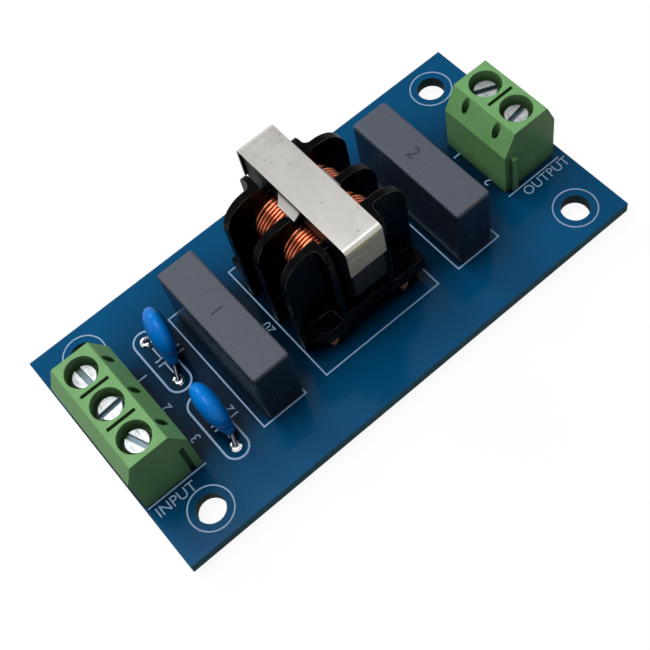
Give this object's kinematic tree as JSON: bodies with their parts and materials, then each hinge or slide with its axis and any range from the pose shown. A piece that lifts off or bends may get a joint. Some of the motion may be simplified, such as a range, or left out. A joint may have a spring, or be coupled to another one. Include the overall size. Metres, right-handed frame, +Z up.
{
  "type": "emi line filter module",
  "caption": "Mains interference filter on a blue circuit board: screw terminals at both ends, film and disc capacitors and a clipped common mode choke.",
  "frame": {"origin": "under the middle of the board's outline, at the level of the soldered lead tips, where the board rests on a bench", "axes": "+X along the board from the three-way input terminal to the two-way output terminal, +Y across the board, +Z up from the solder side to the parts"},
  "size_m": [0.065, 0.033, 0.0226],
  "materials": {
    "board": "glossy blue solder mask on glass-fibre laminate",
    "housing": "moulded green plastic, fine satin",
    "screw": "bright zinc plated steel",
    "clamp": "zinc plated steel",
    "contact": "tinned brass",
    "film_case": "dark grey moulded plastic, matt top and polished sides",
    "potting": "cast resin",
    "tinned_wire": "tinned copper",
    "disc_coat": "glossy blue dip coat",
    "bobbin": "black moulded plastic",
    "ferrite": "sintered ferrite, dark grey",
    "winding": "enamelled copper wire",
    "clip": "rolled spring strip",
    "solder": "bright solder"
  },
  "bodies": {
    "base": {"circuit_board": "board", "input_terminal_housing": "housing", "input_contact_pins": "contact", "input_film_case": "film_case", "input_film_potting": "potting", "input_film_leads": "tinned_wire", "output_terminal_housing": "housing", "output_contact_pins": "contact", "output_film_case": "film_case", "output_film_potting": "potting", "output_film_leads": "tinned_wire", "far_disc_capacitor": "disc_coat", "far_disc_leads": "tinned_wire", "near_disc_capacitor": "disc_coat", "near_disc_leads": "tinned_wire", "choke_bobbin": "bobbin", "choke_front_core": "ferrite", "choke_rear_core": "ferrite", "choke_front_winding": "winding", "choke_rear_winding": "winding", "choke_clip": "clip", "choke_pins": "tinned_wire", "solder_joints": "solder"},
    "input_screw_1": {"input_screw_1": "screw"},
    "input_clamp_1": {"input_clamp_1": "clamp"},
    "input_screw_2": {"input_screw_2": "screw"},
    "input_clamp_2": {"input_clamp_2": "clamp"},
    "input_screw_3": {"input_screw_3": "screw"},
    "input_clamp_3": {"input_clamp_3": "clamp"},
    "output_screw_1": {"output_screw_1": "screw"},
    "output_clamp_1": {"output_clamp_1": "clamp"},
    "output_screw_2": {"output_screw_2": "screw"},
    "output_clamp_2": {"output_clamp_2": "clamp"}
  },
  "joints": [
    {"name": "input_screw_1_turn", "type": "hinge", "parent": "base", "child": "input_screw_1", "pos_m": [-0.02861, -0.00532, 0.0115], "axis": [0, 0, 1], "range_deg": [-1440, 0]},
    {"name": "input_clamp_1_rise", "type": "slide", "parent": "base", "child": "input_clamp_1", "axis": [0, 0, 1], "range_m": [0, 0.0018]},
    {"name": "input_screw_2_turn", "type": "hinge", "parent": "base", "child": "input_screw_2", "pos_m": [-0.02861, -0.00024, 0.0115], "axis": [0, 0, 1], "range_deg": [-1440, 0]},
    {"name": "input_clamp_2_rise", "type": "slide", "parent": "base", "child": "input_clamp_2", "axis": [0, 0, 1], "range_m": [0, 0.0018]},
    {"name": "input_screw_3_turn", "type": "hinge", "parent": "base", "child": "input_screw_3", "pos_m": [-0.02861, 0.00484, 0.0115], "axis": [0, 0, 1], "range_deg": [-1440, 0]},
    {"name": "input_clamp_3_rise", "type": "slide", "parent": "base", "child": "input_clamp_3", "axis": [0, 0, 1], "range_m": [0, 0.0018]},
    {"name": "output_screw_1_turn", "type": "hinge", "parent": "base", "child": "output_screw_1", "pos_m": [0.02775, 0.00224, 0.0115], "axis": [0, 0, 1], "range_deg": [-1440, 0]},
    {"name": "output_clamp_1_rise", "type": "slide", "parent": "base", "child": "output_clamp_1", "axis": [0, 0, 1], "range_m": [0, 0.0018]},
    {"name": "output_screw_2_turn", "type": "hinge", "parent": "base", "child": "output_screw_2", "pos_m": [0.02775, -0.00284, 0.0115], "axis": [0, 0, 1], "range_deg": [-1440, 0]},
    {"name": "output_clamp_2_rise", "type": "slide", "parent": "base", "child": "output_clamp_2", "axis": [0, 0, 1], "range_m": [0, 0.0018]}
  ],
  "couplings": [
    {"joint": "input_screw_1_turn", "follows": "input_clamp_1_rise", "rad_per_m": -13963},
    {"joint": "input_screw_2_turn", "follows": "input_clamp_2_rise", "rad_per_m": -13963},
    {"joint": "input_screw_3_turn", "follows": "input_clamp_3_rise", "rad_per_m": -13963},
    {"joint": "output_screw_1_turn", "follows": "output_clamp_1_rise", "rad_per_m": -13963},
    {"joint": "output_screw_2_turn", "follows": "output_clamp_2_rise", "rad_per_m": -13963}
  ]
}
